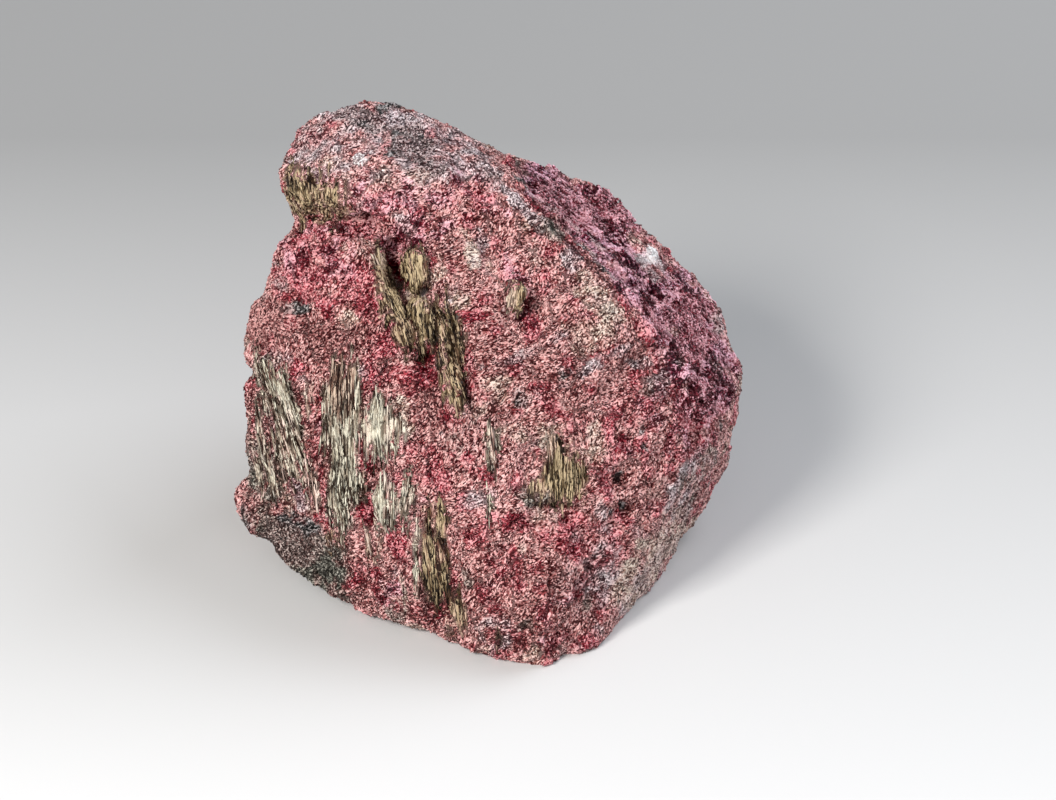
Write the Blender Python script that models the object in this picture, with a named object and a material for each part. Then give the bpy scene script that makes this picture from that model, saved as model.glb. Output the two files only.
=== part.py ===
"""Rough rhodonite: one broken lump of massive pink rock, resting on a flat broken face.

The lump is laid out as it is seen when looked down on from the front, in a tilted frame:
u runs to the right, v runs up the view and w comes towards the eye, all in millimetres.
u and v are read on the plane w = 0, so a corner that lies behind it is really a little
further out. Each mass of the rock is the convex hull of a few such corners. The masses are
joined, worked with broad chisel strokes, roughened, thinned and cut flat underneath.
"""

import math

import bmesh
import bpy
import numpy as np
from mathutils import Vector, noise

MM = 0.001
# The eye that looks down on the stone: its height angle, its distance and the point it
# looks at, as u and v.
VIEW_ELEVATION = math.radians(35.0)
EYE_DISTANCE = 587.0
EYE_AXIS = (7.6, -3.4)
FLOOR_HEIGHT = -39.2
SKIN_VOXEL = 1.1
SOFTENING_PASSES = 4
TRIANGLES_BEFORE_CUT = 10400

CORE = [
    # the outline, clockwise from the top
    (-14, 52, -10), (0, 46.3, -14), (8, 43.4, -24), (20, 40.0, -36), (26.2, 31, -36),
    (42.2, 20.2, -30), (46.4, 14, -26), (48.5, 5, -21), (50.8, -1, -17), (47.2, -15, -22),
    (44, -22.5, -21), (40.8, -28.5, -18), (31, -43, -7), (23.4, -50, 3), (19.4, -56.6, 7),
    (11.6, -58.8, 11), (1, -54.8, 11), (-16.4, -48.7, 6), (-31, -43.8, -1),
    (-42, -35.2, -10), (-48.2, -25.4, -13), (-48.8, -9, -6), (-46.8, 8, -5), (-40, 23, -5),
    (-33, 33.5, -5), (-28, 46, -8),
    # the crest between the front and the top
    (0, 43, 1), (9, 34, 7), (16, 27, 9), (22, 21.5, 10), (28, 16, 10), (33, 10.5, 9),
    (38, 4, 6), (43, -4, 1),
    # the front
    (-2, 11, 15.5), (10, 4, 16), (14, -11.5, 17.5), (-10, -19.5, 18), (1, -31, 18),
    (-18, -35, 13.5), (9, -43, 17), (30, -12, 12), (37, -20, 5), (29, -34, 7),
    (21, -44, 9), (44, -14, -4), (-30, 10, 10), (-27, 23, 7), (-32, -5, 11),
    (-36, -19, 8), (-30, -32, 7), (-41, -25, -1), (-14, 37, 6),
    # the underside and the back
    (-36, -34, -24), (-28, -20, -44), (20, -17, -48), (36, -31, -28), (43, -4, -39),
    (0, 32, -40), (26, 20, -46), (-32, 22, -34), (-38, 0, -36), (-22, 40, -30),
]

HEAD = [
    (-42, 45, -4), (-42.4, 42, 0), (-41.2, 38, 1), (-39.4, 33, -7), (-28, 30, -3),
    (-40.6, 48, -7), (-38.6, 51.4, -8), (-34, 54.6, -8), (-28.6, 55.8, -8), (-23, 56.5, -9),
    (-17.6, 55.8, -10), (-12, 53.4, -11), (-7.2, 50.8, -12), (0, 46.8, -16), (-27, 36, 8),
    (-20, 43, 8), (-8, 42, 6), (-34, 42, 5), (-28, 50, 1), (-12, 33, 6), (-36, 34, -26),
    (-16, 44, -30), (-34, 46, -20),
]

CRIMSON_SHOULDER = [
    (-39.6, 32, -6), (-42.9, 28, -5), (-44.6, 24, -4), (-44.4, 21, -3), (-45.6, 17.5, -3),
    (-36, 29, 3), (-29, 31, 5), (-24, 27, 8), (-24, 16, 9.5), (-33, 13, 8), (-30, 26, 9.5),
    (-34, 20, -20),
]

LEFT_SHOULDER = [
    (-46.4, 18.2, -8), (-48.6, 15, -7), (-49.4, 9.8, -6), (-49.6, 7, -6), (-47, 0, -5),
    (-38, 14, 6), (-36, 4, 9), (-40, -2, 6), (-38, 6, -24),
]

LEFT_FLANK = [
    (-49, 1, -7), (-49.6, -6.5, -6), (-49.2, -17, -7), (-40, 0, 4), (-37, -18, 7),
    (-38, -8, -26),
]

TOE = [
    (-49.2, -19, -9), (-51.6, -21.5, -9), (-51.4, -24.5, -9), (-50.4, -27.6, -10),
    (-47.4, -31.2, -11), (-42, -21, 0), (-38, -31, 0), (-38, -24, -24),
]

RIGHT_KNOB = [
    (48, 4.5, -20), (51.2, 0.7, -18), (49.4, -3.5, -17), (46.8, -8, -18), (43.5, 3, -8),
    (42, -5, -4), (40, 0, -30),
]

TOP_KNOB = [
    (19.5, 40.4, -34), (22.6, 39, -34), (26.2, 31.4, -34), (27.6, 28.2, -30), (21, 35, -22),
    (15, 41, -28), (16, 34, -36),
]

BACK_SLAB = [
    (-20, 38, -32), (6, 37, -40), (12, 26, -46), (-4, 14, -50), (-26, 18, -42), (-24, 30, -34),
    (0, 30, -30), (-16, 24, -30),
]

BACK_FOOT = [
    (30, 8, -44), (20, 10, -50), (8, 0, -56), (6, -8, -60), (24, -10, -60), (34, -6, -52),
    (38, -2, -42), (22, -14, -52), (20, -4, -34),
]

MASSES = [
    CORE, HEAD, CRIMSON_SHOULDER, LEFT_SHOULDER, LEFT_FLANK, TOE, RIGHT_KNOB, TOP_KNOB,
    BACK_SLAB, BACK_FOOT,
]

# Strokes worked into the side that faces the eye: centre (u, v), half length, half width,
# turn from upright in degrees, anticlockwise, push towards the eye, and the share of the
# width over which the stroke fades out.
STROKES = {
    "cleft": ((-13.0, 13.0), 18.0, 6.0, 25, -2.2, 0.6),
    "cleft_pit": ((-19.0, 24.0), 5.4, 2.6, 12, -4.6, 0.9),
    "cleft_top_bundle": ((-14.6, 23.2), 4.4, 2.8, 6, 2.6, 0.7),
    "cleft_ledge_pit": ((-15.0, 18.2), 1.8, 3.4, 0, -2.8, 0.9),
    "cleft_main_bundle": ((-12.6, 11.0), 7.0, 3.4, 14, 2.4, 0.7),
    "cleft_left_bundle": ((-20.2, 14.4), 7.4, 2.2, 22, 2.2, 0.8),
    "cleft_foot_bundle": ((-8.2, 0.6), 6.4, 2.6, 14, 1.8, 0.8),
    "small_crystal": ((5.0, 16.8), 3.2, 2.2, -8, 2.6, 0.8),
    "crystal_pit": ((8.0, 14.6), 3.0, 2.2, -20, -1.8, 0.9),
    "olive_patch": ((13.0, -17.0), 7.2, 7.6, 0, -1.6, 0.5),
    "olive_patch_ledge": ((14.0, -25.0), 1.8, 8.0, 4, -1.6, 0.9),
    "olive_streak": ((-10.4, -37.0), 15.0, 4.6, 6, -1.4, 0.7),
    "pale_slab": ((-27.0, -9.0), 14.0, 4.6, 2, 1.5, 0.6),
    "pale_slab_right": ((-19.0, -8.0), 7.0, 4.2, 4, 1.4, 0.6),
    "pale_slab_foot": ((-19.0, -23.6), 6.4, 3.2, 3, 1.8, 0.7),
    "crimson_lens": ((-23.0, -25.0), 4.4, 2.2, 8, 1.6, 0.9),
    "slab_break": ((-21.0, -18.6), 2.0, 5.0, 6, -2.0, 0.9),
    "left_groove": ((-35.5, -8.0), 16.0, 3.2, 5, -1.8, 0.9),
    "flank_groove": ((-43.5, -6.0), 16.0, 2.4, 8, -1.4, 0.9),
    "dark_hollow": ((-38.0, -33.0), 9.0, 6.0, 50, -2.0, 0.9),
    "centre_hollow": ((6.0, -3.0), 6.0, 8.0, 20, -1.5, 0.9),
    "centre_step": ((3.0, 9.5), 2.6, 11.0, -14, 1.2, 0.9),
    "crest_hollow": ((31.0, 2.0), 4.0, 9.0, 30, -1.8, 0.9),
    "crest_ledge": ((22.0, 12.0), 3.0, 10.0, -38, 1.4, 0.9),
    "right_pit": ((25.4, -18.4), 3.0, 2.6, 0, -2.2, 0.9),
    "lower_pit": ((27.0, -26.0), 2.6, 3.2, 20, -1.8, 0.9),
    "lower_right_ledge": ((24.0, -34.0), 3.0, 9.0, 24, 1.5, 0.9),
    "white_streak": ((-5.0, 27.5), 6.4, 2.4, 20, 1.6, 0.9),
    "crest_groove": ((20.0, 31.0), 22.0, 2.8, 42, -1.7, 0.9),
    "top_groove": ((29.0, 24.0), 18.0, 2.6, 44, -1.9, 0.9),
    "shoulder_crease": ((-28.0, 31.0), 2.2, 10.0, 8, -2.4, 0.9),
    "shoulder_foot": ((-29.0, 13.0), 2.4, 11.0, -6, -1.6, 0.9),
    "bottom_hollow": ((8.0, -33.0), 6.0, 6.0, 0, -1.5, 0.9),
    "lower_rib": ((13.4, -42.0), 9.0, 3.0, -14, 1.4, 0.9),
}
# Slow and quick drift of the strokes' outlines, as wavelength and reach.
DRIFTS = ((9.0, 2.6), (3.4, 1.3))
# How quickly the strokes reach their full depth as the surface turns towards the eye.
FACING_GAIN = 3.0

# Roughness of the broken rock, as wavelength and height.
LUMPS = (17.0, 1.0)
CHIPS = (6.5, 1.0)
PITS = (5.3, 2.2)
LUMP_ROUGHNESS = 0.9
LUMP_LACUNARITY = 2.1
LUMP_OCTAVES = 3
CHIP_STEP = 0.6
CHIP_FALL = 0.35
PIT_THRESHOLD = 0.25
PATTERN_SHIFT = Vector((31.7, -12.4, 8.9))
LEAN_SHIFT = 3.7
NOISE_SEED = 1


def spread(w):
    """How much further out a point at depth w is than where it is seen."""
    return 1.0 - w / EYE_DISTANCE


def upright(corner):
    """A point of the tilted frame as a point of the upright one, in metres."""
    u, v, w = corner
    u = EYE_AXIS[0] + (u - EYE_AXIS[0]) * spread(w)
    v = EYE_AXIS[1] + (v - EYE_AXIS[1]) * spread(w)
    y = v * math.sin(VIEW_ELEVATION) - w * math.cos(VIEW_ELEVATION)
    z = v * math.cos(VIEW_ELEVATION) + w * math.sin(VIEW_ELEVATION)
    return Vector((u, y, z)) * MM


def seen(points):
    """Where upright points, one to a row and in metres, are seen: their u and v."""
    x, y, z = points.T / MM
    v = y * math.sin(VIEW_ELEVATION) + z * math.cos(VIEW_ELEVATION)
    w = z * math.sin(VIEW_ELEVATION) - y * math.cos(VIEW_ELEVATION)
    return (
        EYE_AXIS[0] + (x - EYE_AXIS[0]) / spread(w),
        EYE_AXIS[1] + (v - EYE_AXIS[1]) / spread(w),
    )


def hull(name, corners):
    """A convex mass whose corners are given."""
    shape = bmesh.new()
    for corner in corners:
        shape.verts.new(upright(corner))
    made = bmesh.ops.convex_hull(shape, input=shape.verts)
    unused = [v for v in made["geom_interior"] if isinstance(v, bmesh.types.BMVert)]
    bmesh.ops.delete(shape, geom=unused, context="VERTS")
    bmesh.ops.recalc_face_normals(shape, faces=shape.faces)
    mesh = bpy.data.meshes.new(name)
    shape.to_mesh(mesh)
    shape.free()
    body = bpy.data.objects.new(name, mesh)
    bpy.context.scene.collection.objects.link(body)
    return body


def settle(body):
    """Makes the body's modifiers part of its mesh."""
    bpy.context.view_layer.update()
    graph = bpy.context.evaluated_depsgraph_get()
    mesh = bpy.data.meshes.new_from_object(body.evaluated_get(graph))
    body.modifiers.clear()
    old = body.data
    body.data = mesh
    bpy.data.meshes.remove(old)


def join(bodies):
    """The masses as one body."""
    whole = bodies[0]
    for other in bodies[1:]:
        union = whole.modifiers.new("join", "BOOLEAN")
        union.operation = "UNION"
        union.object = other
        settle(whole)
        bpy.data.objects.remove(other)
    return whole


def skin(body):
    """An even, slightly softened skin over the joined masses."""
    remesh = body.modifiers.new("skin", "REMESH")
    remesh.mode = "VOXEL"
    remesh.voxel_size = SKIN_VOXEL * MM
    soften = body.modifiers.new("soften", "SMOOTH")
    soften.iterations = SOFTENING_PASSES
    settle(body)


def vertex_rows(mesh, field):
    """A vector field of the mesh's vertices, one to a row."""
    rows = np.empty(len(mesh.vertices) * 3)
    mesh.vertices.foreach_get(field, rows)
    return rows.reshape(-1, 3)


def smooth_step(share):
    share = np.clip(share, 0.0, 1.0)
    return share * share * (3.0 - 2.0 * share)


def drift(points):
    """A sideways shift for each point, so that no stroke keeps an even outline."""
    shift = np.zeros((len(points), 3))
    for wavelength, reach in DRIFTS:
        for index, point in enumerate(points):
            shift[index] += np.array(noise.noise_vector(Vector(point) / MM / wavelength)) * reach
    return shift[:, 0], shift[:, 1]


def work(body):
    """Pushes the strokes into the side that faces the eye."""
    points = vertex_rows(body.data, "co")
    towards_eye = np.array((0.0, -math.cos(VIEW_ELEVATION), math.sin(VIEW_ELEVATION)))
    facing = smooth_step(vertex_rows(body.data, "normal") @ towards_eye * FACING_GAIN)
    u, v = seen(points)
    shift_u, shift_v = drift(points)
    u += shift_u
    v += shift_v
    push = np.zeros(len(points))
    for (centre_u, centre_v), length, width, turn, depth, fade in STROKES.values():
        angle = math.radians(turn)
        across = (u - centre_u) * math.cos(angle) + (v - centre_v) * math.sin(angle)
        along = (v - centre_v) * math.cos(angle) - (u - centre_u) * math.sin(angle)
        reach = np.hypot(across / width, along / length)
        push += depth * smooth_step((1.0 + fade / 2 - reach) / fade)
    points += (push * facing * MM)[:, None] * towards_eye
    body.data.vertices.foreach_set("co", points.ravel())


def chip_height(place):
    """Broken facets: each cell of the rock ends in its own tilted plane."""
    distances, cells = noise.voronoi(place)
    height = 0.0
    for distance, cell in zip(distances[:3], cells[:3]):
        lean = noise.noise_vector(cell * LEAN_SHIFT)
        height = max(height, (place - cell).dot(lean) + CHIP_STEP - CHIP_FALL * distance)
    return height - CHIP_FALL


def roughen(body):
    """Lumps, chips and pits along the normal, all over."""
    points = vertex_rows(body.data, "co")
    normals = vertex_rows(body.data, "normal")
    lift = np.empty(len(points))
    for index, point in enumerate(points):
        place = Vector(point) / MM + PATTERN_SHIFT
        lumps = noise.fractal(place / LUMPS[0], LUMP_ROUGHNESS, LUMP_LACUNARITY, LUMP_OCTAVES)
        chips = chip_height(place / CHIPS[0])
        pits = max(0.0, noise.noise(place / PITS[0]) - PIT_THRESHOLD)
        lift[index] = lumps * LUMPS[1] + chips * CHIPS[1] - pits * PITS[1]
    points += normals * (lift * MM)[:, None]
    body.data.vertices.foreach_set("co", points.ravel())


def thin(body):
    """Fewer triangles, kept where the form needs them."""
    reduce = body.modifiers.new("thin", "DECIMATE")
    reduce.ratio = TRIANGLES_BEFORE_CUT / (2 * len(body.data.polygons))
    settle(body)


def cut_base(body):
    """The flat broken face that the lump rests on, and the lump set down on it."""
    shape = bmesh.new()
    shape.from_mesh(body.data)
    cut = bmesh.ops.bisect_plane(
        shape,
        geom=shape.verts[:] + shape.edges[:] + shape.faces[:],
        plane_co=(0, 0, FLOOR_HEIGHT * MM),
        plane_no=(0, 0, -1),
        clear_outer=True,
    )
    rim = [e for e in cut["geom_cut"] if isinstance(e, bmesh.types.BMEdge)]
    bmesh.ops.contextual_create(shape, geom=rim)
    bmesh.ops.triangulate(shape, faces=shape.faces)
    bmesh.ops.recalc_face_normals(shape, faces=shape.faces)
    xs = [v.co.x for v in shape.verts]
    ys = [v.co.y for v in shape.verts]
    middle = Vector(((min(xs) + max(xs)) / 2, (min(ys) + max(ys)) / 2, FLOOR_HEIGHT * MM))
    bmesh.ops.translate(shape, vec=-middle, verts=shape.verts)
    shape.to_mesh(body.data)
    shape.free()


def rock_material():
    material = bpy.data.materials.new("rhodonite")
    material.use_nodes = True
    shader = material.node_tree.nodes["Principled BSDF"]
    shader.inputs["Base Color"].default_value = (0.42, 0.13, 0.16, 1.0)
    shader.inputs["Roughness"].default_value = 0.55
    shader.inputs["Metallic"].default_value = 0.0
    return material


for old in list(bpy.data.objects):
    bpy.data.objects.remove(old)
noise.seed_set(NOISE_SEED)
stone = join([hull(f"mass_{number}", corners) for number, corners in enumerate(MASSES)])
stone.name = "rhodonite_stone"
skin(stone)
work(stone)
roughen(stone)
thin(stone)
cut_base(stone)
stone.data.materials.append(rock_material())
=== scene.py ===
"""The looks of the rough rhodonite: its broken surface, its grains and its fibres.

Places on the stone are given as they are seen from the camera, in steps of a fifth of a
millimetre: x runs to the right, y runs down, and the depth w comes towards the camera, in
millimetres. VIEW_MIDDLE is the place where the camera sees VIEW_ORIGIN of the part's frame.
"""

import math

import bmesh
import bpy
import numpy as np
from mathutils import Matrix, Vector, noise


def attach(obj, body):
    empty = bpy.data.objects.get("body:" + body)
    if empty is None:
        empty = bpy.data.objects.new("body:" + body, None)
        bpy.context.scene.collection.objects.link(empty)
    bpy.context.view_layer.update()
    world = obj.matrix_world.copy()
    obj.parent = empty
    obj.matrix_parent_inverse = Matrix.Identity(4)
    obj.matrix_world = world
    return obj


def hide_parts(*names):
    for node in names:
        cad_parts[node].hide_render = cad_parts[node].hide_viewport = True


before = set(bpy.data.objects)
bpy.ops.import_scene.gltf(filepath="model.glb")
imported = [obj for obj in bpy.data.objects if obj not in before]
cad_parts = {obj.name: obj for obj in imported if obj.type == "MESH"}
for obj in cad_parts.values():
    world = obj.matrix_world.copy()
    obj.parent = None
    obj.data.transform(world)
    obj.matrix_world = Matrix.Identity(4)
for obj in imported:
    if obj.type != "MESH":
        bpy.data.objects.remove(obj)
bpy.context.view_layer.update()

# A millimetre in metres.
MM = 0.001

# The camera: its height angle, its distance in millimetres, the point that it looks at, across
# and up in millimetres from VIEW_ORIGIN, and its lens.
VIEW_ELEVATION = math.radians(35.0)
EYE_DISTANCE = 587.0
EYE_AXIS = (7.6, -3.4)
VIEW_ORIGIN = np.array((0.224, -6.860, 39.2))
VIEW_MIDDLE = (490.0, 383.0)
STEP = 0.2
LENS = 100.0
NEAREST_SEEN = 0.01

ACROSS = np.array((1.0, 0.0, 0.0))
UPWARD = np.array((0.0, math.sin(VIEW_ELEVATION), math.cos(VIEW_ELEVATION)))
OUTWARD = np.array((0.0, -math.cos(VIEW_ELEVATION), math.sin(VIEW_ELEVATION)))

# The skin's fineness in millimetres, and how often it is smoothed before it is broken.
SKIN_VOXEL = 0.56
SKIN_SMOOTHINGS = 3
NOISE_SEED = 5
DRAW_SEED = 11
# Corners closer than this, in metres, are one corner.
DOUBLES = 1e-6
# What a cell's centre is multiplied by to draw its tilt, or its bed's turn, and its step.
TILT_DRAW = 7.3
STEP_DRAW = 3.1

# Where each mineral shows on the side that faces the camera: centre x and y, half width, half
# height, turn from upright in degrees, anticlockwise, and how much of it there is.
REGIONS = {
    "crimson": (
        (326, 262, 52, 36, 0, 0.70), (302, 282, 28, 24, 0, 0.75), (324, 224, 18, 13, 0, 0.95),
        (298, 240, 7, 9, 0, 0.95), (352, 284, 28, 18, 0, 0.60), (331, 303, 20, 6, 0, 0.80),
        (370, 288, 18, 36, 10, 0.72), (385, 346, 22, 14, -20, 0.85), (317, 405, 8, 16, 0, 0.90),
        (425, 375, 8, 14, 0, 0.90), (400, 378, 22, 12, 0, 0.55), (310, 440, 12, 20, 20, 0.45),
        (367, 510, 9, 15, 8, 1.00), (395, 268, 4, 20, 26, 0.90), (286, 476, 6, 7, 0, 0.80),
        (303, 468, 4, 11, 0, 0.80),
        (353, 571, 14, 19, 0, 0.65), (375, 574, 6, 7, 0, 0.80), (322, 516, 12, 11, 0, 0.60),
        (576, 536, 22, 26, 0, 0.75), (522, 524, 18, 9, 0, 0.85), (489, 474, 7, 9, 0, 0.85),
        (537, 567, 9, 9, 0, 0.80), (541, 590, 6, 6, 0, 0.90), (621, 451, 8, 17, -25, 0.70),
        (674, 453, 12, 10, 0, 0.60), (648, 336, 6, 9, 0, 1.00), (707, 404, 9, 11, 0, 0.80),
        (472, 317, 18, 7, 0, 0.90), (466, 372, 12, 26, 0, 0.75), (420, 465, 22, 26, 0, 0.45),
        (415, 166, 4, 6, 0, 0.70), (309, 136, 6, 6, 0, 0.60), (328, 117, 4, 4, 0, 0.70),
        (294, 149, 5, 5, 0, 0.60), (375, 196, 11, 11, 0, 0.35), (508, 162, 4, 4, 0, 1.00),
        (430, 258, 7, 8, 0, 0.80), (450, 262, 10, 8, 0, 0.45), (550, 655, 14, 8, 0, 0.50),
        (480, 535, 16, 34, 20, 0.45), (400, 342, 26, 20, 0, 0.50), (606, 470, 14, 30, 0, 0.45),
        (440, 480, 20, 20, 0, 0.45), (505, 560, 24, 18, 0, 0.45), (530, 276, 30, 22, 0, 0.50),
        (690, 326, 26, 40, 0, 0.80), (700, 400, 22, 36, 0, 0.75), (566, 206, 22, 36, 55, 0.85),
        (470, 200, 30, 24, 0, 0.35), (606, 186, 22, 8, -20, 0.60), (624, 214, 8, 24, 40, 0.80),
        (596, 212, 20, 34, 47, 0.60), (660, 316, 20, 30, 40, 0.70), (606, 550, 28, 26, 0, 0.62),
        (372, 226, 44, 40, 0, 0.58), (584, 324, 24, 16, 0, 0.45), (650, 400, 40, 30, 0, 0.45),
        (340, 600, 20, 16, 0, 0.45), (530, 640, 70, 18, 0, 0.45), (690, 440, 16, 26, 0, 0.45),
        (350, 265, 12, 30, 0, 0.50),
    ),
    "magenta": (
        (684, 322, 36, 44, 0, 0.85), (704, 376, 30, 46, 0, 0.75), (556, 194, 18, 42, 47, 0.92),
        (604, 240, 20, 60, 47, 0.80), (390, 215, 70, 46, 0, 0.35), (322, 255, 46, 36, 0, 0.30),
        (642, 292, 16, 46, 47, 0.85), (612, 208, 16, 30, 45, 1.00),
        (690, 430, 20, 30, 0, 0.45), (590, 200, 12, 26, 55, 0.70), (575, 232, 4, 34, 47, 0.80),
        (684, 300, 24, 34, 40, 0.80), (409, 228, 17, 18, 0, 0.55), (470, 180, 14, 26, 47, 0.35),
        (660, 400, 24, 30, 0, 0.35), (498, 212, 10, 14, 47, 0.40),
    ),
    "mauve": (
        (270, 322, 30, 28, 0, 0.70), (330, 338, 52, 18, 0, 0.60), (250, 505, 8, 20, 0, 0.60),
        (310, 445, 16, 30, 20, 0.45), (540, 352, 9, 54, -62, 0.40), (590, 372, 9, 50, -62, 0.35),
        (480, 410, 34, 14, 0, 0.30), (640, 480, 20, 40, 0, 0.35), (350, 545, 30, 24, 0, 0.40),
        (262, 420, 10, 50, 10, 0.45), (480, 288, 24, 16, 0, 0.30), (520, 585, 40, 20, 0, 0.30),
    ),
    "grey": (
        (350, 115, 34, 12, 0, 0.95), (345, 160, 14, 9, 0, 0.60), (438, 150, 52, 34, 0, 0.55),
        (395, 122, 40, 12, -8, 0.80), (350, 140, 40, 12, 0, 0.50), (380, 175, 40, 12, 0, 0.40),
        (476, 160, 12, 38, 47, 0.55), (520, 205, 6, 34, 47, 0.75), (575, 259, 10, 16, 47, 0.70),
        (655, 270, 12, 10, 0, 0.60), (640, 363, 14, 8, 0, 0.60), (664, 382, 13, 10, 0, 0.60),
        (605, 580, 22, 26, 0, 0.45), (717, 322, 7, 14, 0, 0.85), (646, 575, 16, 50, -38, 0.45),
        (686, 486, 16, 40, -20, 0.45), (500, 632, 24, 20, 0, 0.45), (400, 224, 14, 14, 0, 0.30),
        (540, 345, 6, 46, -62, 0.35), (600, 362, 6, 50, -62, 0.35), (470, 240, 20, 20, 0, 0.25),
        (600, 545, 30, 20, 0, 0.30), (445, 285, 16, 10, 0, 0.40),
        (318, 160, 32, 34, 0, 0.42), (296, 130, 14, 26, 0, 0.40),
    ),
    "charcoal": (
        (389, 105, 14, 5, 0, 1.00), (362, 119, 30, 12, -10, 0.94), (411, 145, 23, 21, 0, 0.97),
        (430, 168, 14, 10, 0, 0.70), (535, 196, 2, 34, 47, 0.80), (604, 266, 2, 42, 47, 0.85),
        (588, 236, 2, 30, 47, 0.70), (560, 214, 2, 24, 47, 0.70), (283, 282, 7, 9, 0, 0.70),
        (294, 309, 14, 9, 0, 0.65),
        (272, 360, 8, 10, 0, 0.60), (522, 396, 15, 9, 0, 0.55), (644, 446, 4, 5, 0, 0.80),
        (619, 478, 5, 6, 0, 0.95), (623, 506, 4, 5, 0, 0.95), (610, 513, 4, 4, 0, 0.70),
        (590, 568, 5, 4, 0, 0.90), (680, 362, 5, 6, 0, 0.80), (692, 385, 4, 6, 0, 0.80),
        (719, 368, 7, 6, 0, 0.60), (289, 542, 30, 28, 0, 1.00), (245, 518, 9, 14, 0, 0.80),
        (374, 488, 8, 4, 0, 0.90), (575, 655, 15, 8, 0, 0.50), (500, 172, 5, 9, 0, 0.60),
        (541, 224, 8, 11, 30, 0.55), (270, 420, 6, 26, 20, 0.35), (360, 212, 9, 6, 0, 0.45),
    ),
    "moss": (
        (322, 570, 26, 34, 0, 0.95), (300, 562, 22, 70, 46, 0.97), (395, 612, 14, 10, 0, 0.70),
        (265, 520, 14, 24, 20, 0.70),
        (268, 478, 16, 14, 0, 0.55), (512, 632, 26, 18, 0, 0.35), (662, 558, 10, 54, -36, 0.40),
        (694, 480, 12, 44, -24, 0.40), (553, 448, 12, 14, 0, 0.60), (535, 495, 17, 12, 0, 0.70),
        (560, 232, 15, 22, 45, 0.45), (455, 445, 18, 14, 0, 0.30), (660, 385, 18, 12, 0, 0.35),
        (716, 330, 6, 14, 0, 0.50), (262, 474, 18, 46, 8, 0.60),
    ),
    "beige": (
        (600, 302, 14, 30, 45, 0.75), (590, 330, 30, 26, 0, 0.35), (473, 255, 7, 14, 15, 0.90),
        (466, 234, 5, 12, 20, 0.60), (401, 420, 12, 28, 0, 0.75), (345, 326, 28, 14, 0, 0.35),
        (358, 250, 20, 12, 0, 0.45), (650, 560, 18, 60, -38, 0.70), (740, 377, 5, 9, 0, 0.80),
        (675, 333, 6, 5, 0, 0.80), (455, 300, 13, 12, 0, 0.45), (458, 340, 12, 12, 0, 0.35),
        (525, 430, 26, 16, 0, 0.35), (596, 450, 12, 32, 0, 0.40), (330, 160, 14, 8, 0, 0.40),
        (398, 176, 32, 12, 0, 0.35), (310, 205, 28, 12, 0, 0.30), (550, 430, 20, 10, 0, 0.35),
    ),
    "mint": (
        (343, 414, 22, 56, 0, 0.97), (377, 426, 17, 32, 0, 0.99), (282, 404, 16, 44, 20, 0.94),
        (266, 386, 9, 36, 18, 0.75), (290, 446, 14, 42, 17, 0.76), (343, 484, 19, 40, 0, 0.95),
        (398, 432, 10, 14, 0, 0.85),
        (260, 440, 9, 40, 8, 0.55), (312, 480, 8, 26, 6, 0.50), (310, 400, 8, 20, 14, 0.40),
        (345, 508, 10, 22, 0, 0.92), (386, 503, 12, 26, 0, 0.99), (406, 500, 10, 20, -10, 0.90),
        (417, 555, 4, 40, 0, 0.85), (376, 542, 11, 20, 0, 0.45), (270, 470, 17, 26, 10, 0.80),
        (492, 446, 10, 17, 5, 0.75), (550, 447, 9, 14, 0, 0.50), (490, 506, 4, 9, 5, 0.70),
        # The patches at 381, 411 and 424 across are the broken tops of the fibre bundles, pale with
        # painted highlights on them.
        (400, 590, 8, 14, 0, 0.30), (381, 262, 5, 8, 10, 0.95), (411, 296, 6, 5, 0, 0.95),
        (424, 297, 6, 5, 0, 0.90), (512, 298, 4, 12, -8, 0.90),
    ),
    "olive": (
        (393, 306, 10, 48, 20, 0.99), (415, 270, 14, 23, 5, 0.97), (420, 322, 14, 36, 5, 0.99),
        (446, 334, 17, 38, 12, 0.88), (452, 376, 13, 34, 16, 0.97), (517, 299, 8, 14, -8, 0.95),
        (564, 478, 24, 24, 0, 0.95), (542, 490, 18, 14, 0, 0.85), (560, 452, 14, 16, 0, 0.70),
        (436, 566, 15, 44, 4, 0.98),
        (436, 524, 13, 26, 2, 0.90), (376, 545, 10, 18, 0, 0.50), (297, 196, 12, 30, 12, 0.92),
        (314, 196, 14, 26, 4, 0.88),
        (330, 203, 22, 22, -8, 0.80), (342, 386, 16, 26, 0, 0.70), (334, 538, 8, 8, 0, 0.80),
        (484, 642, 18, 12, 0, 0.40), (456, 612, 13, 26, 5, 0.50), (384, 262, 5, 20, 25, 0.90),
    ),
    "white": (
        # White at the broken tops of the fibre bundles is pale with painted highlights, and on the
        # upper right edge it is partly a painted glint.
        (359, 158, 7, 7, 0, 1.00), (648, 256, 11, 8, 0, 1.00), (473, 255, 6, 12, 15, 0.50),
        (380, 263, 4, 7, 10, 0.80), (411, 294, 5, 4, 0, 0.85), (423, 295, 5, 4, 0, 0.85),
        (450, 302, 3, 3, 0, 0.80), (344, 158, 9, 5, 0, 0.35),
    ),
}
REGION_EDGE = 0.6
# How outlines wander: wavelength and reach in millimetres. Where there are fibres they fray, a
# little sideways and far lengthways, and the last number is how slim a fibre is.
REGION_DRIFTS = ((7.0, 1.3), (2.4, 1.1), (1.0, 0.5))
SIDEWAYS_FRAY = (3.0, 0.6)
LENGTHWAYS_FRAY = (0.7, 4.5, 14.0)
RELIEF_DRIFT = (1.6, 0.5)

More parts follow.
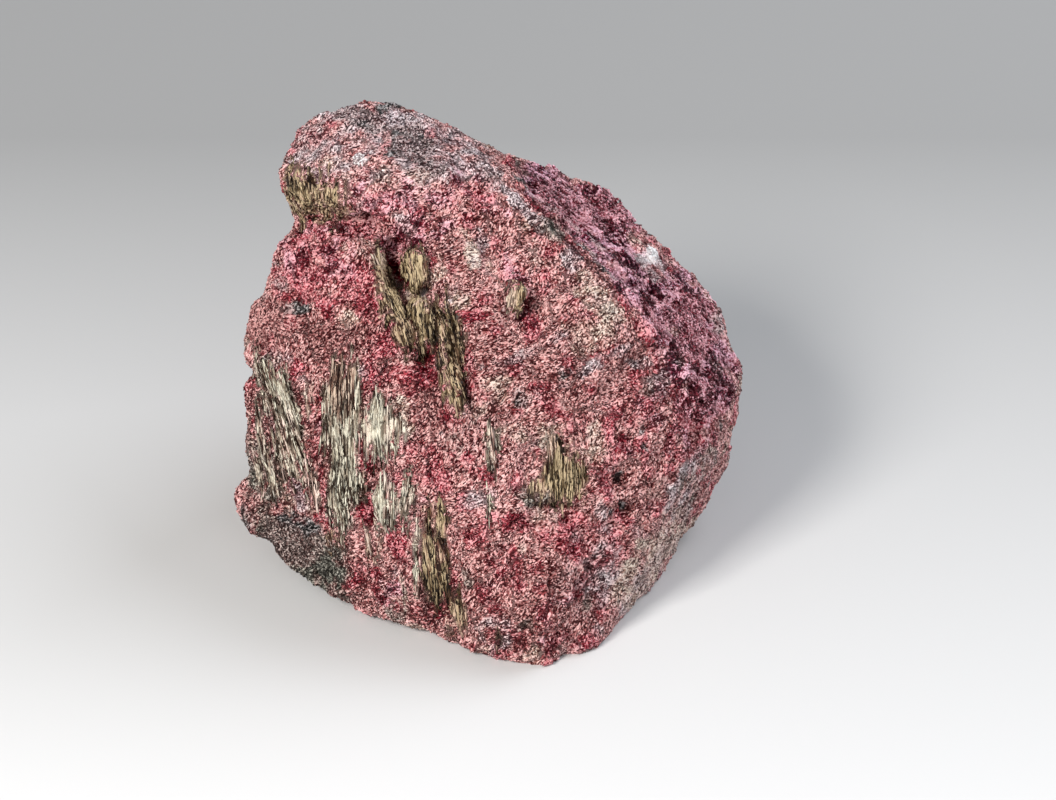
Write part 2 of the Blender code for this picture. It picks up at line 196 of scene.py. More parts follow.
# What is strewn all over the stone, hidden sides too: wavelength in millimetres, threshold,
# amount and shift of the noise.
STREWN = {
    "crimson": (5.0, 0.02, 2.2, 0.0),
    "magenta": (8.0, 0.30, 1.2, 20.0),
    "mauve": (9.0, 0.16, 1.2, 40.0),
    "grey": (7.0, 0.30, 1.2, 80.0),
    "charcoal": (4.0, 0.46, 2.0, 120.0),
    "moss": (8.0, 0.40, 1.4, 140.0),
    "beige": (6.0, 0.20, 1.2, 160.0),
    "white": (2.6, 0.60, 1.6, 180.0),
}
MOST_STREWN = 0.7

# Seams of fibres on the sides that the camera doesn't see, as in STREWN, then how far they are
# drawn out, along and outwards, and how they lean in degrees.
HIDDEN_SEAMS = {
    "mint": (11.0, 0.30, 4.0, 200.0),
    "olive": (8.0, 0.36, 4.0, 240.0),
}
MOST_HIDDEN = 0.90
SEAM_STRETCH = (3.2, 1.8)
HIDDEN_LEAN = 3.0
FIBROUS = ("mint", "olive")
# How squarely a face has to look at the camera, or away from it, and how softly that begins.
SEEN_FROM = (-0.55, 0.3)
HIDDEN_FROM = (-0.3, 0.2)
# How much what is laid out keeps off what is strewn, and fibres keep off the other minerals.
LAID_OVER_STREWN = 0.8
FIBRES_OVER_MASSIVE = 0.85
# How far past its patch a way of leaning reaches, how firmly the nearest patch rules, and the
# weight of HIDDEN_LEAN beside the patches.
LEAN_EDGE = 1.6
LEAN_FOCUS = 3
HIDDEN_WEIGHT = 0.02

# How the shares gather in clumps: reach of the ripple, the share from which it is full and the
# width of a clump's edge, then the ripple's long and short wavelength in millimetres, and how
# strong the short one is.
CLUMP_RIPPLE = 0.6
FULL_RIPPLE = 0.25
CLUMP_EDGE = 0.8
FIBRE_RIPPLE = (1.1, 0.6, 0.6)
MASSIVE_RIPPLE = (3.6, 1.4, 0.4)
# Half the width, in millimetres, that a patch needs to drift as far as the rest.
STEADY_WIDTH = 2.4

# Where the rock is darker or paler than its minerals make it: painted shade in pits, holes, clefts
# and under ledges, and a painted shadow beside a small crystal; painted highlights on the broken
# tops of the fibre bundles and a painted glint on the upper right edge; broad painted shade and
# light over faces as the light falls on them; and the rock's own darker and paler patches. As in
# REGIONS, with the shift of tone in place of the amount.
PAINTED_LIGHT_AND_TONE = (
    (395, 268, 4, 21, 26, -0.34), (404, 284, 7, 7, 0, -0.26), (423, 290, 9, 4, 0, -0.40),
    (380, 264, 5, 9, 10, 0.60), (412, 296, 6, 6, 0, 0.60), (424, 297, 6, 6, 0, 0.55),
    (440, 300, 8, 4, 0, 0.25), (425, 358, 12, 3, 20, -0.45), (425, 330, 34, 66, 14, -0.09),
    (466, 386, 3, 26, 16, -0.50),
    (430, 350, 3, 30, 4, -0.30), (405, 326, 2.5, 36, 13, -0.30), (437, 335, 2.5, 34, 4, -0.25),
    (448, 380, 3, 22, 16, 0.25), (378, 300, 3, 34, 20, 0.20), (570, 478, 3, 24, 0, 0.35),
    (421, 330, 3, 30, 3, 0.25),
    (517, 298, 7, 14, -8, 0.45), (526, 306, 4, 12, -20, -0.70), (519, 318, 8, 3, 10, -0.60),
    (300, 556, 56, 44, -20, -0.14), (262, 540, 14, 30, 30, -0.20), (430, 148, 26, 22, 0, -0.12),
    (304, 558, 26, 70, 46, -0.14), (356, 580, 30, 30, 0, -0.16), (650, 370, 50, 40, 0, -0.16),
    (480, 350, 100, 60, 0, -0.08), (516, 416, 44, 30, 0, -0.14), (470, 250, 70, 50, 0, -0.06),
    (520, 610, 90, 40, 0, -0.12), (345, 335, 74, 36, 0, -0.14), (292, 150, 14, 50, 0, 0.06),
    (384, 222, 40, 30, 0, 0.05), (604, 200, 34, 40, 45, 0.14), (650, 300, 24, 40, 45, 0.08),
    (282, 500, 24, 26, 0, -0.14),
    (470, 575, 110, 46, 0, -0.08), (560, 260, 40, 30, 45, -0.05), (540, 648, 70, 20, 0, -0.02),
    (262, 440, 20, 66, 10, -0.14),
    (346, 380, 22, 26, 0, 0.02), (434, 562, 20, 60, 4, -0.12), (562, 506, 28, 2, 0, -0.45),
    (585, 258, 3, 50, 45, -0.40), (608, 276, 2, 40, 45, -0.25),
    (548, 216, 3, 40, 47, -0.35), (572, 226, 2, 50, 47, 0.30), (596, 250, 2, 46, 46, 0.25),
    (620, 270, 2, 36, 45, 0.20), (542, 467, 2, 16, 51, 0.50), (550, 574, 2, 22, 0, -0.50),
    (368, 488, 12, 4, -5, -0.50), (619, 478, 6, 7, 0, -0.35), (623, 506, 5, 6, 0, -0.35),
    (644, 446, 5, 6, 0, -0.50), (590, 568, 5, 5, 0, -0.50), (680, 362, 6, 7, 0, -0.45),
    (692, 385, 5, 7, 0, -0.45), (650, 280, 40, 90, 45, 0.04), (300, 400, 3, 40, 18, -0.35),
    (370, 185, 70, 26, 0, 0.12), (320, 208, 30, 22, 0, 0.16), (360, 130, 50, 20, 0, 0.02),
    (362, 118, 26, 12, -10, -0.14), (410, 146, 20, 14, 0, -0.08),
    (640, 570, 30, 60, -40, 0.15), (620, 308, 36, 40, 45, -0.06), (330, 470, 70, 26, 0, -0.04),
    (350, 430, 40, 76, 0, -0.20),
    (648, 256, 10, 8, 0, 0.40), (715, 370, 20, 50, 0, 0.10),
    (272, 400, 3, 40, 18, -0.35), (330, 440, 2.5, 50, 2, -0.30), (362, 420, 3, 50, 0, -0.35),
    (356, 440, 5, 40, 0, 0.20), (376, 426, 13, 28, 0, 0.46), (384, 503, 10, 20, 0, 0.26),
    (398, 432, 8, 12, 0, 0.12), (340, 428, 13, 24, 0, 0.08), (343, 490, 12, 30, 0, 0.04),
    (404, 500, 6, 18, -10, 0.20), (280, 440, 26, 50, 14, -0.14),
    (396, 420, 2.5, 30, 0, -0.30), (417, 556, 4, 38, 0, 0.35), (520, 430, 40, 16, 0, 0.05),
    (428, 406, 26, 22, 0, -0.20), (570, 378, 28, 18, 0, -0.16), (525, 636, 26, 16, 0, -0.14),
    (495, 222, 18, 16, 0, -0.12), (565, 272, 26, 14, 0, -0.12), (626, 246, 18, 26, 45, -0.20),
    (704, 326, 12, 24, 0, -0.12), (480, 356, 24, 14, 0, -0.10), (302, 186, 12, 16, 0, 0.22),
    (370, 220, 20, 16, 0, 0.14), (495, 276, 20, 14, 0, 0.16), (535, 302, 12, 14, 0, 0.12),
    (570, 236, 12, 16, 45, 0.22), (636, 276, 14, 12, 0, 0.16), (326, 270, 44, 30, 0, -0.02),
    (606, 296, 10, 30, 45, 0.04), (538, 165, 14, 20, 47, 0.14), (382, 262, 5, 10, 10, 0.30),
    (480, 166, 14, 14, 0, -0.14), (348, 182, 16, 10, 0, -0.12), (322, 208, 14, 12, 0, -0.12),
    (665, 296, 14, 14, 0, -0.12), (270, 360, 14, 18, 0, -0.14), (384, 338, 16, 10, 0, -0.12),
    (350, 310, 16, 12, 0, -0.10), (452, 420, 14, 12, 0, -0.12), (582, 392, 18, 12, 0, -0.12),
    (686, 376, 16, 18, 0, -0.12), (626, 486, 14, 14, 0, -0.14), (350, 446, 14, 16, 0, -0.12),
    (294, 492, 14, 16, 0, -0.12), (440, 590, 50, 30, 0, -0.08), (606, 582, 18, 18, 0, -0.14),
    (310, 126, 16, 14, 0, 0.14), (508, 265, 16, 14, 0, 0.12), (570, 236, 12, 12, 0, 0.10),
    (256, 312, 10, 16, 0, 0.14), (550, 400, 18, 10, 0, 0.12), (600, 468, 14, 10, 0, 0.12),
    (496, 582, 18, 12, 0, 0.10),
)

# What stands out of the stone or is broken out of it: centre x and y, half width, half height,
# turn as in REGIONS, and height in millimetres.
RELIEF = (
    (395, 268, 3, 20, 26, -1.5), (404, 284, 7, 6, 0, -1.3), (423, 290, 7, 3, 0, -1.3),
    (415, 270, 12, 20, 5, 1.0), (392, 308, 10, 43, 20, 1.1), (420, 322, 12, 31, 2, 1.4),
    (450, 326, 13, 30, 10, 0.7), (452, 380, 11, 26, 16, 0.9), (466, 386, 3, 24, 16, -0.8),
    (405, 328, 2.5, 34, 13, -0.3), (436, 334, 2.5, 30, 5, -0.2),
    (425, 357, 10, 3, 20, -0.6), (517, 299, 8, 13, -8, 1.0), (527, 306, 4, 12, -20, -1.0),
    (520, 318, 8, 3, 10, -0.6), (506, 313, 3, 11, -8, -0.5), (562, 506, 28, 3, 0, -0.5),
    (522, 524, 14, 6, 0, -0.7), (368, 488, 12, 4, -5, -1.0), (367, 510, 9, 15, 8, -0.8),
    (383, 503, 12, 20, 0, 0.5), (346, 508, 12, 18, 0, 0.4), (376, 430, 12, 26, 0, 0.4),
    (344, 415, 18, 50, 0, 0.2), (619, 478, 5, 6, 0, -1.0), (623, 506, 4, 5, 0, -0.9),
    (644, 446, 4, 5, 0, -0.8), (590, 568, 4, 4, 0, -0.9), (680, 362, 5, 6, 0, -0.9),
    (692, 385, 4, 6, 0, -0.9), (648, 336, 6, 9, 0, 0.6), (652, 252, 8, 7, 0, 0.5),
    (508, 162, 4, 4, 0, 0.8), (616, 206, 16, 20, 45, 0.6), (303, 231, 6, 5, 0, -1.0),
    (347, 230, 9, 5, -20, -1.0), (365, 212, 7, 7, 0, -0.6), (325, 226, 11, 11, 0, 0.6),
    (473, 255, 7, 14, 15, 0.5), (359, 158, 5, 6, 0, 0.4), (286, 476, 6, 6, 0, -0.6),
    (303, 468, 4, 10, 0, -0.5), (317, 405, 7, 14, 0, -0.4), (585, 258, 3, 55, 45, -0.3),
    (606, 276, 3, 45, 45, -0.2), (550, 574, 2, 22, 0, -0.5), (374, 574, 6, 6, 0, -0.5),
    (722, 345, 4, 10, 0, -0.8), (262, 352, 4, 14, 15, -0.6), (250, 490, 6, 4, 0, -0.8),
)
RELIEF_EDGE = 0.5

# The massive minerals lie in beds: size in millimetres, turn from upright in degrees before and
# behind the crest, and how far the turns spread. The crest is a line in x and y that goes
# through CREST_START.
BED_SIZE = 7.0
BED_TURNS = {"before": -52.0, "behind": 46.0}
BED_SPREAD = 32.0
CREST_START = (488.0, 176.0)
CREST_SLOPE = 0.92
# How far the grain is drawn out along the way it lies, and outwards.
MASSIVE_STRETCH = (2.3, 2.4)
FIBRE_STRETCH = (15.0, 4.0)
# How the massive grain is bent: wavelength and reach in millimetres.
WARP = (2.6, 0.35)

# Broken facets: size in millimetres, shift of the noise, lean, and step in millimetres. The
# rough ones grow with the rock's roughness, and the split ones are those of the fibres.
ROUGH_CHIPS = ((5.6, 12.0, 0.8, 0.18), (2.6, 2.0, 0.6, 0.14))
FINE_CHIPS = (1.3, 50.0, 0.4, 0.08)
SPLIT_CHIPS = ((1.8, 30.0, 0.4, 0.24), (0.9, 90.0, 0.2, 0.10))
ROUGHNESS = {"plain": 0.7, "crimson": 0.9, "magenta": 1.5}
# Pits in the massive rock: wavelength, shift, threshold and depth in millimetres.
PITS = (2.3, 70.0, 0.40, 1.2)
# Fibres split along ways this many degrees apart.
SPLIT_TURN = 6.0
# The finest unevenness, in millimetres.
JITTER = 0.05
# The flat base stays flat up to where the rock is this high, in millimetres.
BASE_RISE = 1.2

# What makes a place pale: how far it stands out, which paints shade into its hollows and makes what
# stands out paler, part painted light and part dust and wear; clouds of noise, each cell's own
# tone, and streaks along the fibres. Clouds and streaks give amount, wavelength and shift, and
# CELLS gives what chips takes.
RELIEF_SHADE_AND_WEAR = 0.16
RELIEF_SHADE_LIMITS = (-1.5, 0.6)
CLOUDS = ((0.24, 3.8, 33.0), (0.17, 1.5, 37.0))
BASE_TONES = {"plain": -0.05, "crimson": -0.12, "magenta": 0.0}
CELL_TONES = {"plain": 0.06, "crimson": 0.34, "magenta": 1.05}
CELLS = (2.0, 8.0, 0.0, 1.0)
STREAKS = ((0.45, 1.0, 91.0), (0.3, 0.5, 95.0))


def smooth_step(share):
    share = np.clip(share, 0.0, 1.0)
    return share * share * (3.0 - 2.0 * share)


def wave(points, wavelength, shift=0.0):
    """Smooth noise from about -1 to 1 at points in millimetres. Each shift is a place of its own
    in the noise, so that waves don't follow each other."""
    places = (points / wavelength + shift).tolist()
    return np.array([noise.noise(place) for place in places])


def seen(points):
    """Where points of the part's frame, in millimetres, are seen: x and y in steps, and w."""
    right, back, height = (points - VIEW_ORIGIN).T
    up = back * math.sin(VIEW_ELEVATION) + height * math.cos(VIEW_ELEVATION)
    w = height * math.sin(VIEW_ELEVATION) - back * math.cos(VIEW_ELEVATION)
    spread = 1.0 - w / EYE_DISTANCE
    x = EYE_AXIS[0] + (right - EYE_AXIS[0]) / spread
    y = EYE_AXIS[1] + (up - EYE_AXIS[1]) / spread
    return VIEW_MIDDLE[0] + x / STEP, VIEW_MIDDLE[1] - y / STEP, w


def patch(x, y, centre_x, centre_y, half_width, half_height, turn, edge):
    """1 inside an oval patch and 0 outside it, with a soft edge."""
    angle = math.radians(turn)
    right = x - centre_x
    up = centre_y - y
    across = right * math.cos(angle) + up * math.sin(angle)
    along = up * math.cos(angle) - right * math.sin(angle)
    reach = np.hypot(across / half_width, along / half_height)
    return smooth_step((1.0 + edge / 2 - reach) / edge)


def drifted(points):
    """x and y with a drift, so that nothing laid out in them keeps an even outline."""
    x, y, _ = seen(points)
    for number, (wavelength, reach) in enumerate(REGION_DRIFTS):
        x = x + wave(points, wavelength, 3.0 + number) * reach / STEP
        y = y + wave(points, wavelength, 17.0 + number) * reach / STEP
    return x, y


def frayed(points):
    """x and y drifted as fibres are: little across them, and each one's end for itself."""
    x, y, w = seen(points)
    wavelength, reach = SIDEWAYS_FRAY
    sideways = wave(points, wavelength, 61.0) * reach / STEP
    wavelength, reach, slimness = LENGTHWAYS_FRAY
    fibres = np.stack((x * STEP, y * STEP / slimness, w), axis=1)
    return x + sideways, y + wave(fibres, wavelength, 47.0) * reach / STEP


def lie(points, turns, stretch):
    """Points in a frame turned with the grain: across it, along it and outwards. The last two
    are divided by their stretch, so that what is laid out in the frame is drawn out on the rock."""
    x, y, w = seen(points)
    right = (x - VIEW_MIDDLE[0]) * STEP
    up = (VIEW_MIDDLE[1] - y) * STEP
    angle = np.radians(turns)
    across = right * np.cos(angle) + up * np.sin(angle)
    along = up * np.cos(angle) - right * np.sin(angle)
    return np.stack((across, along / stretch[0], w / stretch[1]), axis=1)


def bed_turns(points):
    """The way the massive minerals lie, in degrees from upright: one way to each bed."""
    centres = [noise.voronoi(place)[1][0] for place in (points / BED_SIZE).tolist()]
    chance = np.array([noise.cell(centre * TILT_DRAW) for centre in centres])
    x, y, _ = seen(np.array(centres) * BED_SIZE)
    behind = smooth_step((x - CREST_START[0]) * CREST_SLOPE + CREST_START[1] - y)
    turns = BED_TURNS["before"] * (1.0 - behind) + BED_TURNS["behind"] * behind
    return turns + chance * BED_SPREAD


def turned_here(normals):
    """1 where the rock faces the camera or is just round the edge of what it sees, then 0."""
    limit, softness = SEEN_FROM
    return smooth_step((normals @ OUTWARD - limit) / softness)


def turned_away(normals):
    """1 where the rock looks away from the camera, and 0 where it can be seen."""
    limit, softness = HIDDEN_FROM
    return smooth_step((limit - normals @ OUTWARD) / softness)


def placed(points, drift, form):
    """1 inside a patch that drifts with its surroundings, and less so the narrower it is."""
    x, y, _ = seen(points)
    steady = min(form[2] * STEP / STEADY_WIDTH, 1.0)
    return patch(x + (drift[0] - x) * steady, y + (drift[1] - y) * steady, *form, REGION_EDGE)


def clumped(share, ripple):
    """A share gathered in clumps, and still nothing where there was nothing."""
    rippled = share + CLUMP_RIPPLE * ripple * smooth_step(share / FULL_RIPPLE)
    return smooth_step((rippled - 0.5) / CLUMP_EDGE + 0.5)


def fibre_lean(points):
    """How the fibres lean at each point: as in the nearest patches of fibre."""
    x, y, _ = seen(points)
    weight = np.full(len(points), HIDDEN_WEIGHT)
    lean = weight * HIDDEN_LEAN
    for mineral in FIBROUS:
        for centre_x, centre_y, half_width, half_height, turn, amount in REGIONS[mineral]:
            here = patch(x, y, centre_x, centre_y, half_width, half_height, turn, LEAN_EDGE)
            pull = (amount * here) ** LEAN_FOCUS
            weight += pull
            lean += pull * turn
    return lean / weight


def mineral_shares(points, normals, split):
    """How much of each mineral there is at each point; split holds the points along the fibres."""
    drift = drifted(points)
    fray = frayed(points)
    facing = turned_here(normals)
    hidden = turned_away(normals)
    shares = {}
    for mineral, patches in REGIONS.items():
        share = np.zeros(len(points))
        for *form, amount in patches:
            if mineral in FIBROUS:
                inside = patch(*fray, *form, REGION_EDGE)
            else:
                inside = placed(points, drift, form)
            share = np.maximum(share, amount * inside * facing)
        shares[mineral] = share
    laid = np.max(list(shares.values()), axis=0)
    for mineral, (wavelength, threshold, amount, shift) in STREWN.items():
        strewn = (wave(points, wavelength, shift) - threshold) * amount
        strewn = np.clip(strewn, 0.0, MOST_STREWN) * (1.0 - LAID_OVER_STREWN * laid)
        shares[mineral] = np.maximum(shares[mineral], strewn)
    seams = lie(points, HIDDEN_LEAN, SEAM_STRETCH)
    for mineral, (wavelength, threshold, amount, shift) in HIDDEN_SEAMS.items():
        seam = (wave(seams, wavelength, shift) - threshold) * amount
        seam = np.clip(seam, 0.0, MOST_HIDDEN) * hidden
        shares[mineral] = np.maximum(shares[mineral], seam)
    for number, mineral in enumerate(shares):
        if mineral in FIBROUS:
            places, (long, short, strength) = split, FIBRE_RIPPLE
        else:
            places, (long, short, strength) = points, MASSIVE_RIPPLE
        ripple = wave(places, long, 11.0 * number) + strength * wave(places, short, 7.0 * number)
        shares[mineral] = clumped(shares[mineral], ripple)
    fibres = np.maximum(shares["mint"], shares["olive"])
    for mineral in shares:
        if mineral not in FIBROUS:
            shares[mineral] = shares[mineral] * (1.0 - FIBRES_OVER_MASSIVE * fibres)
    total = sum(shares.values())
    for mineral in shares:
        shares[mineral] = shares[mineral] / np.maximum(total, 1.0)
    return shares


def new_object(name, mesh):
    piece = bpy.data.objects.new(name, mesh)
    bpy.context.scene.collection.objects.link(piece)
    return piece


def settle(piece):
    """Makes the piece's modifiers part of its mesh."""
    bpy.context.view_layer.update()
    graph = bpy.context.evaluated_depsgraph_get()
    mesh = bpy.data.meshes.new_from_object(piece.evaluated_get(graph))
    piece.modifiers.clear()
    old = piece.data
    piece.data = mesh
    bpy.data.meshes.remove(old)


def rows(mesh, field):
    """A vector field of the mesh's vertices, one to a row."""
    values = np.empty(len(mesh.vertices) * 3)
    mesh.vertices.foreach_get(field, values)
    return values.reshape(-1, 3)


def keep_value(mesh, name, values):
    """Stores one number for each vertex, for the materials to read."""
    mesh.attributes.new(name, "FLOAT", "POINT").data.foreach_set("value", values)


def keep_lie(mesh, places):
    """Stores where each vertex is in the frame of the grain, for the materials to read."""
    kept = mesh.attributes.new("lie", "FLOAT_VECTOR", "POINT")
    kept.data.foreach_set("vector", places.ravel())


def merged_copy(name, node):
    """A copy of a node's mesh with its doubles merged."""
    shape = bmesh.new()
    shape.from_mesh(node.data)
    bmesh.ops.remove_doubles(shape, verts=shape.verts, dist=DOUBLES)
    mesh = bpy.data.meshes.new(name)
    shape.to_mesh(mesh)
    shape.free()
    return new_object(name, mesh)


def chips(places, size, shift, lean, step):
    """Broken facets: each cell of the rock ends in its own tilted plane, a step off the next."""
    height = np.empty(len(places))
    for index, place in enumerate((places / size + shift).tolist()):
        centre = noise.voronoi(place)[1][0]
        tilt = noise.cell_vector(centre * TILT_DRAW) - Vector((0.5, 0.5, 0.5))
        rise = step * noise.cell(centre * STEP_DRAW)
        height[index] = lean * (Vector(place) - centre).dot(tilt) + rise
    return height


def by_crystal(amounts, shares):
    """A plain amount, and what crimson and magenta crystal add to it."""
    crystal = sum(amounts[mineral] * shares[mineral] for mineral in ("crimson", "magenta"))
    return amounts["plain"] + crystal


def broken_height(points, lain, split, shares, fibrous):
    """How far the broken surface stands out of the solid's, in millimetres."""
    rough = by_crystal(ROUGHNESS, shares)
    massive = rough * sum(chips(lain, *form) for form in ROUGH_CHIPS) + chips(lain, *FINE_CHIPS)
    wavelength, shift, threshold, depth = PITS
    massive -= depth * np.clip(wave(points, wavelength, shift) - threshold, 0.0, 1.0)
    return (1.0 - fibrous) * massive + fibrous * sum(chips(split, *form) for form in SPLIT_CHIPS)


def paleness_with_painted_shade(points, lain, split, shares, fibrous, lift):
    """How much paler than the middle each place is, with painted shade in its hollows and paler
    raised places.
    """
    pale = RELIEF_SHADE_AND_WEAR * np.clip(lift, *RELIEF_SHADE_LIMITS) + by_crystal(BASE_TONES, shares)
    for amount, wavelength, shift in CLOUDS:
        pale += amount * wave(points, wavelength, shift)
    pale += by_crystal(CELL_TONES, shares) * chips(lain, *CELLS)
    for amount, wavelength, shift in STREAKS:
        pale += fibrous * amount * wave(split, wavelength, shift)
    return pale


def break_surface(skin):
    """Works chips, pits, fibres and grain into the skin, and keeps what its materials read."""
    points = rows(skin.data, "co") / MM
    normals = rows(skin.data, "normal")
    lean = fibre_lean(points)
    split = lie(points, np.round(lean / SPLIT_TURN) * SPLIT_TURN, FIBRE_STRETCH)
    shares = mineral_shares(points, normals, split)
    fibrous = np.clip(shares["mint"] + shares["olive"], 0.0, 1.0)
    beds = bed_turns(points)
    wavelength, reach = WARP
    warp = [wave(points, wavelength, shift) for shift in (5.0, 15.0, 25.0)]
    lain = lie(points + reach * np.stack(warp, axis=1), beds, MASSIVE_STRETCH)
    lift = broken_height(points, lain, split, shares, fibrous)
    facing = turned_here(normals)
    x, y, _ = seen(points)
    wavelength, reach = RELIEF_DRIFT
    x = x + wave(points, wavelength, 83.0) * reach / STEP
    y = y + wave(points, wavelength, 87.0) * reach / STEP
    for *form, height in RELIEF:
        lift += height * patch(x, y, *form, RELIEF_EDGE) * facing
    draw = np.random.default_rng(DRAW_SEED)
    on_base = smooth_step(points[:, 2] / BASE_RISE)[:, None]
    moved = points + normals * lift[:, None] * on_base
    moved += draw.normal(0.0, JITTER, points.shape) * on_base
    moved[:, 2] = np.maximum(moved[:, 2], 0.0)
    skin.data.vertices.foreach_set("co", (moved * MM).ravel())
    pale = paleness_with_painted_shade(points, lain, split, shares, fibrous, lift)
    # Painted shade and highlights, with the rock's own darker and paler patches, laid over the
    # tone.
    for *form, shift in PAINTED_LIGHT_AND_TONE:
        pale += shift * patch(x, y, *form, REGION_EDGE) * facing
    for mineral, share in shares.items():
        keep_value(skin.data, mineral, share)
    keep_value(skin.data, "pale", pale)
    keep_lie(skin.data, np.where(fibrous[:, None] > 0.5, split, lain))
    skin.data.update()
    between = unit(normals + rows(skin.data, "normal"))
    return {"normals": between, "shares": shares, "lean": lean, "beds": beds, "pale": pale}


def make_skin():
    skin = merged_copy("broken_surface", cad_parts["rhodonite_stone"])
    remesh = skin.modifiers.new("even", "REMESH")
    remesh.mode = "VOXEL"
    remesh.voxel_size = SKIN_VOXEL * MM
    soften = skin.modifiers.new("soften", "SMOOTH")
    soften.iterations = SKIN_SMOOTHINGS
    settle(skin)
    return skin, break_surface(skin)


# Heights in millimetres: grains start above the first, and none reaches below the second.
CLEAR_OF_BASE = 0.4
LOWEST_GRAIN = 0.02


def scatter(skin, count, draw):
    """Places spread evenly over the skin, clear of its flat base, each with a vertex near it."""
    mesh = skin.data
    mesh.calc_loop_triangles()
    corners = np.empty(len(mesh.loop_triangles) * 3, np.int32)
    mesh.loop_triangles.foreach_get("vertices", corners)
    corners = corners.reshape(-1, 3)
    points = rows(mesh, "co") / MM
    a, b, c = (points[corners[:, side]] for side in range(3))
    areas = np.linalg.norm(np.cross(b - a, c - a), axis=1)
    areas[np.maximum(np.maximum(a[:, 2], b[:, 2]), c[:, 2]) < CLEAR_OF_BASE] = 0.0
    chosen = draw.choice(len(areas), count, p=areas / areas.sum())
    share = draw.random((count, 2))
    over = share.sum(axis=1) > 1.0
    share[over] = 1.0 - share[over]
    first, second = share[:, :1], share[:, 1:]
    places = a[chosen] + (b - a)[chosen] * first + (c - a)[chosen] * second
    return places, corners[chosen, 0]


def unit(vectors):
    return vectors / np.maximum(np.linalg.norm(vectors, axis=1), 1e-9)[:, None]


def crystal_form(top_width, top_length):
    """Corners and triangles of one crystal: a unit box on the rock that narrows upwards."""
    shape = bmesh.new()
    bmesh.ops.create_cube(shape, size=1.0)
    bmesh.ops.translate(shape, vec=(0.0, 0.0, 0.5), verts=shape.verts)
    top = [corner for corner in shape.verts if corner.co.z > 0.5]
    bmesh.ops.scale(shape, vec=(top_width, top_length, 1.0), verts=top)
    bmesh.ops.remove_doubles(shape, verts=shape.verts, dist=DOUBLES)
    bmesh.ops.triangulate(shape, faces=shape.faces)
    shape.verts.index_update()
    corners = np.array([corner.co[:] for corner in shape.verts])
    faces = np.array([[corner.index for corner in face.verts] for face in shape.faces])
    shape.free()
    return corners, faces


# A cleaved block, and a lath with a ridge along it. Their corners stray by up to UNEVENNESS, in
# shares of the width, the length and the height.
BLOCK = crystal_form(0.72, 0.72)
LATH = crystal_form(0.0, 0.84)
UNEVENNESS = np.array((0.18, 0.12, 0.16))


def shards(name, form, places, normals, turns, sizes, tilt, sink, stretch, tones, draw):
    """Many small crystals in one mesh, each sunk in the rock by a share of its height."""
    plain_corners, plain_faces = form
    count = len(places)
    length, width, height = sizes
    angle = np.radians(turns)[:, None]
    along = np.cos(angle) * UPWARD - np.sin(angle) * ACROSS
    normals = unit(normals + draw.normal(0.0, tilt, (count, 3)))
    along = unit(along - normals * (along * normals).sum(axis=1)[:, None])
    side = np.cross(along, normals)
    corners = np.repeat(plain_corners[None], count, axis=0)
    corners += draw.uniform(-1.0, 1.0, corners.shape) * UNEVENNESS
    corners[:, :, 2] -= sink
    shape = (
        corners[:, :, :1] * (width[:, None, None] * side[:, None])
        + corners[:, :, 1:2] * (length[:, None, None] * along[:, None])
        + corners[:, :, 2:] * (height[:, None, None] * normals[:, None])
    )
    shape += places[:, None]
    shape[:, :, 2] = np.maximum(shape[:, :, 2], LOWEST_GRAIN)
    faces = plain_faces[None] + np.arange(count)[:, None, None] * len(plain_corners)
    mesh = bpy.data.meshes.new(name)
    mesh.vertices.add(count * len(plain_corners))
    mesh.vertices.foreach_set("co", (shape * MM).ravel())
    mesh.loops.add(faces.size)
    mesh.loops.foreach_set("vertex_index", faces.ravel())
    mesh.polygons.add(faces.size // 3)
    mesh.polygons.foreach_set("loop_start", np.arange(0, faces.size, 3))
    mesh.update(calc_edges=True)
    for kept, values in tones.items():
        keep_value(mesh, kept, np.repeat(values, len(plain_corners)))
    corner_turns = np.repeat(turns, len(plain_corners))
    keep_lie(mesh, lie(shape.reshape(-1, 3), corner_turns, stretch))
    return new_object(name, mesh)


# The grains and fibres of each mineral: length, width and height in millimetres, how far they
# spread from the way they lie in degrees, tilt, share sunk in the rock, and what share of the
# places sown with the mineral bear one.
GRAINS = {
    "pink": (0.52, 0.38, 0.16, 40, 0.18, 0.40, 1.0),
    "crimson": (0.74, 0.56, 0.24, 60, 0.26, 0.40, 1.0),
    "magenta": (0.74, 0.56, 0.24, 45, 0.28, 0.40, 1.0),
    "mauve": (0.52, 0.38, 0.16, 40, 0.18, 0.40, 1.0),
    "grey": (0.50, 0.38, 0.15, 50, 0.18, 0.40, 1.0),
    "charcoal": (0.50, 0.38, 0.16, 80, 0.20, 0.40, 1.0),
    "moss": (0.52, 0.38, 0.16, 60, 0.20, 0.40, 1.0),
    "beige": (0.52, 0.38, 0.16, 40, 0.18, 0.40, 1.0),
    "white": (0.66, 0.50, 0.26, 60, 0.40, 0.35, 1.0),
    "mint": (3.80, 0.34, 0.12, 1, 0.02, 0.50, 0.7),
    "olive": (1.90, 0.34, 0.14, 2, 0.03, 0.50, 0.6),
}
GRAIN_COUNT = 56000
# How far a crystal's own tone departs from its place's: most minerals, and the others.
MASSIVE_REACH = 0.3
TONE_REACH = {"mint": 0.2, "olive": 0.2, "crimson": 0.4, "magenta": 0.5}
# How much length, width and height vary from crystal to crystal.
SIZE_SPREAD = (0.42, 0.36, 0.30)
# Fibres are shorter where the rock turns from the camera: gain, least and most.
FIBRE_SHORTENING = (1.4, 0.2, 1.0)
MOST_TRIANGLES = 190000


